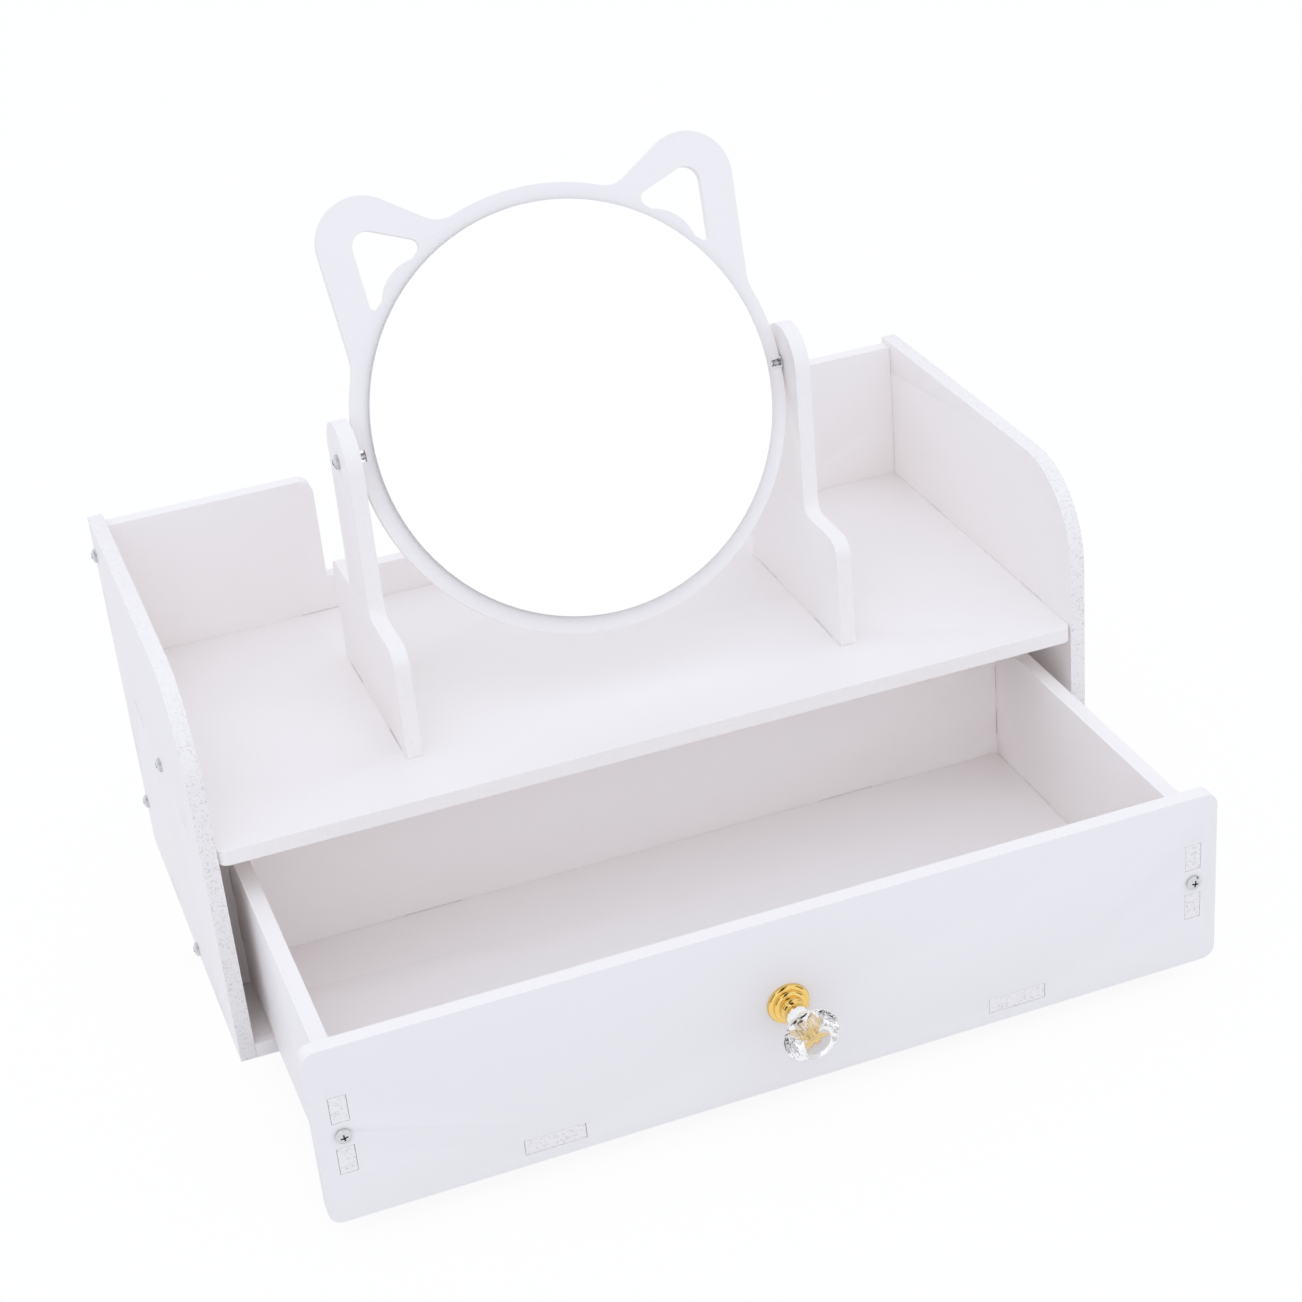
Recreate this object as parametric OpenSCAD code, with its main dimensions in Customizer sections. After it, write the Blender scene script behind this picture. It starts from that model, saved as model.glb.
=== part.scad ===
// Tabletop vanity organiser: a shelf between two side panels, a drawer under it,
// and a tilting round mirror with two ears, held between two posts on the shelf.
// Every panel is cut from one flat board and goes together with tabs, slots and screws.
// Millimetres. X runs to the right, Y to the back, Z up. The origin is on the table,
// under the middle of the cabinet.

/* [Boards] */
// Thickness of the board that every panel is cut from
board_t = 6; // [5:0.5:8]
// Gap left all round a tab in its slot
slot_gap = 0.1; // [0.05:0.05:0.3]
// Height of the tabs that join two standing boards
tab_h = 10.5; // [8:0.5:13]
// Distance from a screw to the near end of the tab beside it
tab_screw_gap = 5.2; // [4:0.2:7]
// Length of the tabs along the long boards
tab_len = 22; // [14:1:30]

/* [Cabinet] */
// Width over the side panels
cab_w = 350; // [320:5:420]
// Depth of the side panels
cab_d = 168; // [160:2:200]
// Height of the side panels
side_h = 152; // [142:1:180]
// Radius of the round front shoulder of a side panel
side_round = 36; // [20:1:50]
// Height of the underside of the shelf above the table
shelf_z = 85; // [75:1:100]
// How far the front edge of the shelf stands proud of the side panels
shelf_proud = 1.2; // [0:0.2:3]
// Radius of the front corners of the shelf
shelf_corner_r = 4; // [1:0.5:6]
// How far the back panel is set in from the rear edges of the sides
back_inset = 2; // [0:0.5:6]
// How far the top of the back panel stays below the top of the sides
back_drop = 2; // [0:0.5:10]
// Height of the lower screws that hold the back panel
back_screw_low = 22; // [16:1:30]
// Distance from the upper screws of the back panel down from its top
back_screw_drop = 13; // [8:1:20]
// Distance from a screw of the back panel to the middle of the tab next to it
back_tab_step = 26; // [22:1:30]
// Height of the low middle stretch of the back panel above the shelf
back_low_h = 15; // [8:1:30]
// Width of the low middle stretch of the back panel
back_low_w = 172; // [160:2:200]
// Radius of the upper corners beside the low stretch
back_corner_r = 6; // [2:0.5:12]
// Length of the tabs that hold shelf and bottom board in the sides
side_tab_len = 16; // [12:1:24]
// Distance from the front edge to the middle of the front pair of side tabs
side_tab_y = 32; // [26:1:45]
// Distance between the front pair and the rear pair of side tabs
side_tab_pitch = 86; // [70:1:95]

/* [Mirror posts] */
// Distance from the cabinet front to the middle of a post
post_y = 73.5; // [65:0.5:85]
// Depth of the foot of a post
post_foot_d = 90; // [80:1:100]
// Height of the foot of a post above the shelf
post_foot_h = 44.5; // [35:0.5:60]
// Radius of the outer corners of the foot
post_corner_r = 7; // [3:0.5:12]
// Depth of the neck of a post, which ends in a half round
post_neck_d = 30; // [24:1:40]
// Radius of the inner corners between foot and neck
post_fillet_r = 4; // [2:0.5:8]
// Distance from the middle of a post to the middle of each of its tabs
post_tab_y = 28; // [22:1:32]

/* [Mirror] */
// Diameter of the round frame, a solid disc that carries the glass on its front
ring_d = 168; // [150:1:170]
// Thickness of the round frame
ring_t = 4; // [3.5:0.5:6]
// Width of the rim that the round frame shows round the glass
ring_w = 6.5; // [5:0.5:10]
// Clear height under the round frame when it hangs upright
ring_clear = 19; // [14:1:40]
// How far the mirror leans back at rest, in degrees
mirror_lean = 23.5; // [0:0.5:60]
// Thickness of the mirror glass
glass_t = 2; // [1.5:0.5:3]
// Thickness of the foam tape behind the glass
tape_t = 1; // [0.5:0.25:1.5]
// How far the foam tape stays inside the edge of the glass
tape_inset = 4; // [3:1:20]
// Depth of the notch in the rim that a pivot screw passes through
notch_depth = 3.6; // [2.8:0.2:4.4]
// Gap between a pivot screw and the sides of that notch
notch_gap = 0.7; // [0.4:0.1:1]

/* [Ears] */
// Direction of an ear from the mirror centre, in degrees above level
ear_angle = 49.8; // [46:0.2:56]
// How far inside the rim the circle lies that the ears are laid out from
ear_root = 1; // [0:0.25:2]
// Distance from that circle out to the middle of the round tip
ear_rise = 15.3; // [12:0.3:18]
// Radius of the round tip of an ear
ear_tip_r = 17.5; // [15:0.5:19]
// Degrees round that circle from the ear's direction down to its outer side
ear_outer_turn = 29; // [26:0.5:32]
// Degrees round that circle from the ear's direction up to its inner side
ear_inner_turn = 16.7; // [14:0.3:19]
// Radius of the hollow curve from the frame to the outer side of an ear
ear_outer_fillet = 20; // [10:1:30]
// Radius of the hollow curve from the frame to the inner side of an ear
ear_inner_fillet = 12; // [6:1:18]
// Radius of the upper corner of the hole in an ear
ear_hole_top_r = 6; // [4.5:0.5:7.5]
// Distance from the middle of the tip back to the middle of the upper corner
ear_hole_drop = 2.1; // [1:0.1:4]
// Radius of the inner corner of the hole
ear_hole_inner_r = 3; // [2:0.5:3.5]
// Degrees round that circle from the ear's direction to the inner corner
ear_hole_inner_turn = 6.8; // [6:0.2:8]
// Radius of the lower corner of the hole
ear_hole_low_r = 1.8; // [1.2:0.2:2.4]
// Degrees round that circle from the ear's direction to the lower corner
ear_hole_low_turn = 10.8; // [9.6:0.2:12]
// Radius of the bulge that the frame makes into the hole
ear_bulge_r = 17; // [12:1:20]

/* [Drawer] */
// Gap between the drawer front and each side panel
drawer_gap = 1; // [0.5:0.25:2]
// Gap between the drawer and the bottom board that it slides on
drawer_lift = 0.2; // [0.1:0.1:0.5]
// Gap between the top of the drawer front and the shelf
front_top_gap = 7.8; // [2:0.2:12]
// Radius of the corners of the drawer front
front_corner_r = 5; // [2:0.5:8]
// How far the drawer sides are set in from the ends of the drawer front
box_inset = 6.5; // [4:0.5:12]
// How much lower the drawer sides are than the drawer front
box_drop = 7; // [4:0.5:12]
// How far the drawer back reaches past the drawer sides
back_reach = 4.5; // [2:0.5:5]
// Radius of the upper corners of the drawer back
drawer_back_r = 4; // [1:0.5:6]
// Gap behind the drawer when it is shut
drawer_rear_gap = 5; // [2:0.5:10]
// Height of the underside of the drawer floor above the lower edge of the drawer
floor_z = 4.5; // [3:0.5:8]
// Distance from the middle of the drawer to each tab of its floor
floor_tab_x = 87.5; // [60:2.5:110]
// How far the drawer is pulled out at rest
drawer_pull = 110; // [0:5:130]

/* [Fasteners] */
// Diameter of the small panel screws
screw_d = 3; // [2.5:0.1:3.4]
// Length of the small panel screws under the head
screw_len = 18; // [14:1:22]
// Diameter of the head of a small screw
head_d = 5.6; // [5:0.1:6]
// Height of the head of a small screw
head_h = 2; // [1.6:0.1:2.4]
// Gap round a screw in a hole that it does not grip
screw_gap = 0.2; // [0.1:0.05:0.4]
// Gap round a screw in the pilot hole that it grips
pilot_gap = 0.02; // [0.01:0.01:0.05]
// Gap round a mirror pivot screw in the bore of its post
pivot_gap = 0.05; // [0.02:0.01:0.1]
// Diameter of the washer between post and mirror frame
spacer_d = 6; // [5.8:0.1:7]
// Thickness of the washer between post and mirror frame
spacer_len = 0.6; // [0.5:0.1:3]
// Gap between a post and the washer, and between a post and the head of its pivot screw
spacer_gap = 0.1; // [0.05:0.05:0.3]
// Depth that a mirror pivot screw reaches into the frame
pivot_grip = 10; // [8:0.5:14]

/* [Knob] */
// Diameter of the foot of the metal knob base
knob_base_d = 15.6; // [14:0.2:18]
// Height of the stack of three round steps at the foot
knob_steps_h = 5.5; // [4.5:0.5:6.5]
// Diameter of the neck of the metal knob base
knob_neck_d = 7.4; // [7:0.2:8]
// Length of the metal knob base
knob_base_len = 9; // [8:0.5:11]
// Diameter of the crystal at its widest
crystal_d = 20.6; // [18:0.2:24]
// Diameter of the narrow end of the crystal
crystal_seat_d = 8.6; // [8:0.2:10]
// Length of the narrow end of the crystal
crystal_seat_len = 3; // [2:0.5:4]
// Length of the crystal from its narrow end out to its edge
crystal_flare_len = 8; // [6:0.5:10]
// Thickness of the edge of the crystal
crystal_edge = 0.8; // [0.4:0.2:1.6]
// Height of the cut face in front of the edge
crystal_crown_len = 3; // [2:0.5:4]
// Diameter of the flat front facet
crystal_table_d = 11.4; // [9:0.2:13]
// Number of facets round the crystal
crystal_sides = 12; // [8:2:12]
// Diameter of the screw that holds the knob
knob_screw_d = 4; // [3:0.5:4]
// Diameter of the head of the knob screw
knob_head_d = 8; // [7:0.5:9]
// Depth that the knob screw reaches into the base
knob_grip = 6; // [5:0.5:7]

/* [Hidden] */
$fn = 96;
eps = 0.01;          // small overlap that joins or parts two shapes cleanly
past = 1;            // how far a cut runs past an edge
screw_tip = 3;       // length of the pointed end of a panel screw
recess_w = 0.9;      // width of the cross recess in a screw head
recess_share = 0.62; // length of the cross recess as a share of the head

board_white = [0.93, 0.92, 0.95];
steel = [0.75, 0.76, 0.78];
gold = [0.87, 0.68, 0.28];

// Cabinet, in plan and in height
cab_front = -cab_d / 2;
cab_rear = cab_d / 2;
inner_x = cab_w / 2 - board_t;                 // inner face of a side panel
shelf_top = shelf_z + board_t;
back_front = cab_rear - back_inset - board_t;  // front face of the back panel
back_rear = cab_rear - back_inset;
back_top = side_h - back_drop;
back_low_top = shelf_top + back_low_h;
side_tab_rows = [cab_front + side_tab_y, cab_front + side_tab_y + side_tab_pitch];
side_screw_y = (side_tab_rows[0] + side_tab_rows[1]) / 2;
rear_tab_x = cab_w / 4;                        // tabs of shelf and bottom board in the back panel
rear_tab_cols = [-rear_tab_x, rear_tab_x];
back_screw_high = back_top - back_screw_drop;
back_screws = [back_screw_low, back_screw_high];
back_tabs = [back_screw_low + back_tab_step, back_screw_high - back_tab_step];
tab_step = tab_screw_gap + tab_h / 2;          // from a screw to the middle of the tab beside it

// Mirror and posts
ring_r = ring_d / 2;
ring_front = -ring_t / 2;                      // front face of the round frame, before it leans
glass_r = ring_r - ring_w;
notch_w = screw_d + 2 * notch_gap;
rim_x = sqrt(pow(ring_r, 2) - pow(notch_w / 2, 2));  // where the notch starts in the rim
post_inner_x = ring_r + spacer_len + spacer_gap;
post_outer_x = post_inner_x + board_t;
post_mid_y = cab_front + post_y;
pivot_z = shelf_top + ring_clear + ring_r;
pivot_screw_len = board_t + 2 * spacer_gap + spacer_len + pivot_grip;
ear_bulge_angle = ear_angle - 1.8;             // direction of the bulge into the hole
ear_bulge_rise = 0.6;                          // reach of the bulge past the ears' circle

// Drawer, drawn shut and then pulled out
front_w = 2 * (inner_x - drawer_gap);
front_h = shelf_z - board_t - drawer_lift - front_top_gap;
box_h = front_h - box_drop;
side_out_x = front_w / 2 - box_inset;          // outer face of a drawer side
side_in_x = side_out_x - board_t;
side_mid_x = (side_out_x + side_in_x) / 2;
drawer_back_w = 2 * (side_out_x + back_reach);
front_back_y = cab_front + board_t;            // rear face of the drawer front
drawer_rear_y = back_front - drawer_rear_gap;
drawer_back_y = drawer_rear_y - board_t;       // front face of the drawer back
drawer_z = board_t + drawer_lift;
drawer_screw_z = front_h / 2;
floor_tab_rows = [front_back_y + (drawer_back_y - front_back_y) / 4,
    front_back_y + (drawer_back_y - front_back_y) * 3 / 4];

// ---- outlines ----

// Point at distance r from c, in direction a
function polar(c, r, a) = c + r * [cos(a), sin(a)];

// Direction of the outer tangent point shared by two circles [x, y, r], going anticlockwise
function tangent_dir(a, b) =
    let (d = [b[0] - a[0], b[1] - a[1]])
    atan2(d[1], d[0]) - acos((a[2] - b[2]) / norm(d));

// Point just inside a circle [x, y, r] where a side in direction a touches it
function touch(c, a) = polar([c[0], c[1]], c[2] - eps, a);

// Touching points of a loop of circles, two for each side
function tangent_loop(circles) =
    [for (i = [0:len(circles) - 1])
        let (a = circles[i], b = circles[(i + 1) % len(circles)])
        for (c = [a, b]) touch(c, tangent_dir(a, b))];

// Straight-sided shape stretched round circles [x, y, r], listed anticlockwise
module stretched_round(circles) {
    polygon(tangent_loop(circles));
    for (c = circles) translate([c[0], c[1]]) circle(r = c[2]);
}

// Rectangle with its own radius at each corner: lower left, lower right, upper right, upper left
module plate(size, r) {
    corners = [[0, 0], [size[0], 0], size, [0, size[1]]];
    inward = [[1, 1], [-1, 1], [-1, -1], [1, -1]];
    difference() {
        square(size);
        for (i = [0:3]) if (r[i] > 0)
            translate(corners[i] + inward[i] * (r[i] / 2 - eps))
                square(r[i] + 2 * eps, center = true);
    }
    for (i = [0:3]) if (r[i] > 0)
        translate(corners[i] + inward[i] * r[i]) circle(r = r[i]);
}

// The filler of an inner corner at the origin, between the +X and +Y directions
module corner_fillet(r) {
    difference() {
        translate([-eps, -eps]) square(r + eps);
        translate([r, r]) circle(r = r);
    }
}

// Rectangle from low corner to high corner
module block(low, high) translate(low) square(high - low);

// Rectangle grown all round by the slot gap
module slot(low, high) block(low - [slot_gap, slot_gap], high + [slot_gap, slot_gap]);

// Ends of a tab of length l centred on c
function span(c, l) = [c - l / 2, c + l / 2];

// ---- ways to stand a flat outline up ----

// Outline in Y and Z, thickened towards +X from x
module across_x(x) translate([x, 0, 0]) rotate([90, 0, 90]) linear_extrude(board_t) children();

// Outline in X and Z, thickened towards +Y from y
module across_y(y) translate([0, y + board_t, 0]) rotate([90, 0, 0]) linear_extrude(board_t) children();

// Outline in X and Y, thickened upwards from z
module flat(z) translate([0, 0, z]) linear_extrude(board_t) children();

// ---- fasteners ----

// Crossed recess, sunk into a head from its top
module cross_recess(d, depth) {
    for (a = [0, 90]) rotate([0, 0, a])
        translate([0, 0, -depth / 2]) cube([d * recess_share, recess_w, depth + eps], center = true);
}

// Pan head: a flat underside at z = 0, a straight edge up to half its height and a domed top
module pan_head(d, h) {
    dome = (d * d + h * h) / (h * 4);
    difference() {
        intersection() {
            cylinder(d = d, h = h);
            translate([0, 0, h - dome]) sphere(r = dome);
        }
        translate([0, 0, h]) cross_recess(d, h * 0.6);
    }
}

// Panel screw: head above z = 0, shank below it
module pan_screw(len = screw_len, tip = screw_tip) {
    pan_head(head_d, head_h);
    translate([0, 0, -len + tip]) cylinder(d = screw_d, h = len - tip + eps);
    translate([0, 0, -len]) cylinder(r1 = screw_d / 8, r2 = screw_d / 2, h = tip);
}

// Hole for the gripping end of a panel screw, from a board edge at z = 0 downwards
module pilot(len) translate([0, 0, -len]) cylinder(d = screw_d + 2 * pilot_gap, h = len + eps);

// Things that point along an axis: their z direction turned to +X, -X, +Y, -Y or -Z
module to_right() rotate([0, 90, 0]) children();
module to_left() rotate([0, -90, 0]) children();
module to_rear() rotate([-90, 0, 0]) children();
module to_front() rotate([90, 0, 0]) children();
module to_floor() rotate([180, 0, 0]) children();

module screw_hole_2d() circle(d = screw_d + 2 * screw_gap);

// ---- cabinet ----

// Outline of a side panel in Y and Z, with its slots and screw holes
module side_outline() {
    difference() {
        translate([cab_front, 0]) plate([cab_d, side_h], [0, 0, 0, side_round]);
        for (y = side_tab_rows) {
            s = span(y, side_tab_len);
            slot([s[0], shelf_z], [s[1], shelf_top]);
            slot([s[0], -past], [s[1], board_t]);
        }
        for (z = [shelf_z, 0]) translate([side_screw_y, z + board_t / 2]) screw_hole_2d();
        for (z = back_tabs) {
            s = span(z, tab_len);
            slot([back_front, s[0]], [back_rear, s[1]]);
        }
        for (z = back_screws) translate([back_front + board_t / 2, z]) screw_hole_2d();
    }
}

module left_side_panel() color(board_white) across_x(-cab_w / 2) side_outline();

module right_side_panel() color(board_white) across_x(inner_x) side_outline();

// Outline of the back panel in X and Z
module back_outline() {
    low_x = back_low_w / 2;
    difference() {
        union() {
            block([-inner_x, 0], [inner_x, back_low_top]);
            translate([-inner_x, 0]) plate([inner_x - low_x, back_top], [0, 0, back_corner_r, 0]);
            translate([low_x, 0]) plate([inner_x - low_x, back_top], [0, 0, 0, back_corner_r]);
            for (z = back_tabs) {
                s = span(z, tab_len);
                block([-cab_w / 2, s[0]], [cab_w / 2, s[1]]);
            }
        }
        block([-low_x, back_low_top], [low_x, back_top + eps]);
        for (x = rear_tab_cols) {
            s = span(x, tab_len);
            slot([s[0], shelf_z], [s[1], shelf_top]);
            slot([s[0], -past], [s[1], board_t]);
        }
        for (z = [shelf_z, 0]) translate([0, z + board_t / 2]) screw_hole_2d();
    }
}

module back_panel() {
    color(board_white) difference() {
        across_y(back_front) back_outline();
        for (z = back_screws) {
            translate([inner_x, back_front + board_t / 2, z]) to_right() pilot(screw_len - board_t);
            translate([-inner_x, back_front + board_t / 2, z]) to_left() pilot(screw_len - board_t);
        }
    }
}

// A board that lies between the sides, with tabs into the sides and the back
module lying_board(z, front, corner_r) {
    difference() {
        flat(z) {
            translate([-inner_x, front])
                plate([2 * inner_x, back_front - front], [corner_r, corner_r, 0, 0]);
            for (y = side_tab_rows) {
                s = span(y, side_tab_len);
                block([-cab_w / 2, s[0]], [cab_w / 2, s[1]]);
            }
            for (x = rear_tab_cols) {
                s = span(x, tab_len);
                block([s[0], back_front - past], [s[1], back_rear]);
            }
        }
        translate([inner_x, side_screw_y, z + board_t / 2]) to_right() pilot(screw_len - board_t);
        translate([-inner_x, side_screw_y, z + board_t / 2]) to_left() pilot(screw_len - board_t);
        translate([0, back_front, z + board_t / 2]) to_rear() pilot(screw_len - board_t);
    }
}

module shelf_board() {
    color(board_white) difference() {
        lying_board(shelf_z, cab_front - shelf_proud, shelf_corner_r);
        for (side = [-1, 1], tab = [-1, 1]) {
            y = span(post_mid_y + tab * post_tab_y, side_tab_len);
            x = span(side * (post_inner_x + board_t / 2), board_t);
            flat(shelf_z) slot([x[0], y[0]], [x[1], y[1]]);
        }
        for (side = [-1, 1])
            translate([side * (post_inner_x + board_t / 2), post_mid_y, shelf_z])
                cylinder(d = screw_d + 2 * screw_gap, h = 3 * board_t, center = true);
    }
}

module bottom_board() color(board_white) lying_board(0, cab_front, 0);

module side_screws() {
    color(steel) for (side = [0, 1]) mirror([side, 0, 0]) {
        for (z = [shelf_z, 0])
            translate([cab_w / 2, side_screw_y, z + board_t / 2]) to_right() pan_screw();
        for (z = back_screws)
            translate([cab_w / 2, back_front + board_t / 2, z]) to_right() pan_screw();
    }
}

module rear_screws() {
    color(steel) for (z = [shelf_z, 0])
        translate([0, back_rear, z + board_t / 2]) to_rear() pan_screw();
}

// ---- mirror posts ----

module post_outline() {
    foot = span(post_mid_y, post_foot_d);
    neck = span(post_mid_y, post_neck_d);
    foot_top = shelf_top + post_foot_h;
    translate([foot[0], shelf_top])
        plate([post_foot_d, post_foot_h], [0, 0, post_corner_r, post_corner_r]);
    block([neck[0], shelf_top + post_foot_h / 2], [neck[1], pivot_z]);
    translate([post_mid_y, pivot_z]) circle(d = post_neck_d);
    translate([neck[1], foot_top]) corner_fillet(post_fillet_r);
    translate([neck[0], foot_top]) mirror([1, 0]) corner_fillet(post_fillet_r);
    for (tab = [-1, 1]) {
        y = span(post_mid_y + tab * post_tab_y, side_tab_len);
        block([y[0], shelf_z], [y[1], shelf_top + past]);
    }
}

module mirror_post(side) {
    color(board_white) difference() {
        across_x(side > 0 ? post_inner_x : -post_outer_x) post_outline();
        translate([side * (post_inner_x + board_t / 2), post_mid_y, pivot_z])
            to_right() cylinder(d = screw_d + 2 * pivot_gap, h = 2 * board_t, center = true);
        translate([side * (post_inner_x + board_t / 2), post_mid_y, shelf_top])
            to_floor() pilot(screw_len - board_t);
    }
}

module left_mirror_post() mirror_post(-1);

module right_mirror_post() mirror_post(1);

module post_screws() {
    color(steel) for (side = [-1, 1])
        translate([side * (post_inner_x + board_t / 2), post_mid_y, shelf_z])
            to_floor() pan_screw();
}

// ---- mirror, drawn upright round its pivot axis and then leaned back ----

module leaned() translate([0, post_mid_y, pivot_z]) rotate([-mirror_lean, 0, 0]) children();

// Outline in X and Z, thickened backwards from y
module mirror_layer(y, t) translate([0, y + t, 0]) rotate([90, 0, 0]) linear_extrude(t) children();

// Place at an angle round the mirror, a distance out from the circle that the ears are laid out from
function off_root(angle, out) = polar([0, 0], ring_r - ear_root + out, angle);

// A circle [x, y, r] there
function round_at(angle, out, r) = concat(off_root(angle, out), r);

// Lower, upper and inner corner of the hole in the right ear, anticlockwise
ear_hole_circles = [
    round_at(ear_angle - ear_hole_low_turn, ear_hole_low_r / 4, ear_hole_low_r),
    round_at(ear_angle, ear_rise - ear_hole_drop, ear_hole_top_r),
    round_at(ear_angle + ear_hole_inner_turn, ear_hole_inner_r / 2, ear_hole_inner_r)
];

// Point at distance d from the mirror centre in direction a, moved along by s anticlockwise
function off_line(a, d, s) = [d * cos(a) - s * sin(a), d * sin(a) + s * cos(a)];

// Tip of the right ear, and the corners where its straight sides would meet the ears' circle
ear_tip = round_at(ear_angle, ear_rise, ear_tip_r);
outer_corner = round_at(ear_angle - ear_outer_turn, 0, 0);
inner_corner = round_at(ear_angle + ear_inner_turn, 0, 0);

// Hollow curve of radius r from the rim to a straight side that runs between two circles:
// its middle, its touching point on the side, and a point inside the frame below its start.
// It dips eps into frame and ear. turn picks the end of the side.
function hollow(from, to, r, turn) =
    let (a = tangent_dir(from, to),
        d = [from[0], from[1]] * [cos(a), sin(a)] + from[2],
        reach = r - eps,
        along = turn * sqrt(pow(ring_r + reach, 2) - pow(d + reach, 2)),
        middle = off_line(a, d + reach, along))
    [middle, off_line(a, d, along), middle * ((ring_r - ring_w / 2) / (ring_r + reach))];

outer_hollow = hollow(outer_corner, ear_tip, ear_outer_fillet, 1);
inner_hollow = hollow(ear_tip, inner_corner, ear_inner_fillet, -1);

module ear_outline() {
    difference() {
        union() {
            polygon([outer_hollow[2], outer_hollow[0], outer_hollow[1],
                touch(ear_tip, tangent_dir(outer_corner, ear_tip)),
                touch(ear_tip, tangent_dir(ear_tip, inner_corner)),
                inner_hollow[1], inner_hollow[0], inner_hollow[2]]);
            translate([ear_tip[0], ear_tip[1]]) circle(r = ear_tip_r);
        }
        translate(outer_hollow[0]) circle(r = ear_outer_fillet);
        translate(inner_hollow[0]) circle(r = ear_inner_fillet);
    }
}

module ear_hole() {
    difference() {
        stretched_round(ear_hole_circles);
        translate(off_root(ear_bulge_angle, ear_bulge_rise - ear_bulge_r)) circle(r = ear_bulge_r);
    }
}

module frame_outline() {
    difference() {
        union() {
            rotate(90) circle(r = ring_r);
            for (side = [0, 1]) mirror([side, 0]) ear_outline();
        }
        for (side = [0, 1]) mirror([side, 0]) {
            ear_hole();
            block([ring_r - notch_depth, -notch_w / 2], [ring_r + past, notch_w / 2]);
        }
    }
}

module mirror_frame() {
    color(board_white) leaned() difference() {
        mirror_layer(ring_front, ring_t) frame_outline();
        translate([ring_r, 0, 0]) to_right() pilot(pivot_grip);
        translate([-ring_r, 0, 0]) to_left() pilot(pivot_grip);
    }
}

module mirror_tape() {
    color([0.95, 0.95, 0.9]) leaned()
        mirror_layer(ring_front - tape_t, tape_t) circle(r = glass_r - tape_inset);
}

module mirror_glass() {
    color([0.85, 0.90, 0.93]) leaned()
        mirror_layer(ring_front - tape_t - glass_t, glass_t) circle(r = glass_r);
}

module pivot_screws() {
    color(steel) for (side = [0, 1]) mirror([side, 0, 0])
        translate([post_outer_x + spacer_gap, post_mid_y, pivot_z])
            to_right() pan_screw(pivot_screw_len, board_t / 4);
}

module pivot_spacers() {
    color(steel) for (side = [0, 1]) mirror([side, 0, 0])
        translate([rim_x, post_mid_y, pivot_z]) to_right() difference() {
            cylinder(d = spacer_d, h = spacer_len);
            translate([0, 0, -past])
                cylinder(d = screw_d + 2 * pilot_gap, h = spacer_len + 2 * past);
        }
}

// ---- drawer, drawn shut with its lower edge at z = 0 ----

module pulled() translate([0, -drawer_pull, drawer_z]) children();

// Tabs of the sides and the floor, as they show in the front and the back
module box_slots() {
    for (side = [-1, 1]) {
        x = span(side * side_mid_x, board_t);
        for (up = [-1, 1]) {
            z = span(drawer_screw_z + up * tab_step, tab_h);
            slot([x[0], z[0]], [x[1], z[1]]);
        }
        translate([side * side_mid_x, drawer_screw_z]) screw_hole_2d();
        f = span(side * floor_tab_x, tab_len);
        slot([f[0], floor_z], [f[1], floor_z + board_t]);
    }
}

module drawer_front() {
    color(board_white) pulled() across_y(cab_front) difference() {
        translate([-front_w / 2, 0])
            plate([front_w, front_h], [for (i = [0:3]) front_corner_r]);
        box_slots();
        translate([0, front_h / 2]) circle(d = knob_screw_d + 2 * screw_gap);
    }
}

module drawer_back() {
    color(board_white) pulled() across_y(drawer_back_y) difference() {
        translate([-drawer_back_w / 2, 0])
            plate([drawer_back_w, box_h], [0, 0, drawer_back_r, drawer_back_r]);
        box_slots();
    }
}

// Outline of a drawer side in Y and Z
module drawer_side_outline() {
    difference() {
        union() {
            block([front_back_y, 0], [drawer_back_y, box_h]);
            for (up = [-1, 1]) {
                z = span(drawer_screw_z + up * tab_step, tab_h);
                block([cab_front, z[0]], [drawer_rear_y, z[1]]);
            }
        }
        for (y = floor_tab_rows) {
            s = span(y, side_tab_len);
            slot([s[0], floor_z], [s[1], floor_z + board_t]);
        }
    }
}

module drawer_side(side) {
    color(board_white) pulled() difference() {
        across_x(side > 0 ? side_in_x : -side_out_x) drawer_side_outline();
        translate([side * side_mid_x, front_back_y, drawer_screw_z])
            to_front() pilot(screw_len - board_t);
        translate([side * side_mid_x, drawer_back_y, drawer_screw_z])
            to_rear() pilot(screw_len - board_t);
    }
}

module drawer_left_side() drawer_side(-1);

module drawer_right_side() drawer_side(1);

module drawer_floor() {
    color(board_white) pulled() flat(floor_z) {
        block([-side_in_x, front_back_y], [side_in_x, drawer_back_y]);
        for (y = floor_tab_rows) {
            s = span(y, side_tab_len);
            block([-side_out_x, s[0]], [side_out_x, s[1]]);
        }
        for (side = [-1, 1]) {
            x = span(side * floor_tab_x, tab_len);
            block([x[0], cab_front], [x[1], drawer_rear_y]);
        }
    }
}

module drawer_screws() {
    color(steel) pulled() for (side = [-1, 1]) {
        translate([side * side_mid_x, cab_front, drawer_screw_z]) to_front() pan_screw();
        translate([side * side_mid_x, drawer_rear_y, drawer_screw_z]) to_rear() pan_screw();
    }
}

// ---- knob, along z from the drawer front, then turned to point forwards ----

module on_front() pulled() translate([0, cab_front, front_h / 2]) to_front() children();

// Round steps of the knob base: share of its diameter, share of the height of the stack
knob_steps = [[1, 0.35], [0.8, 0.65], [0.6, 1]];
knob_step_round = 0.7;                             // rounding of the edge of a step
knob_lip = 1;                                      // thickness of the lip under the crystal
knob_hole_spare = 1;                               // depth of the screw hole past its screw

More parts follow.
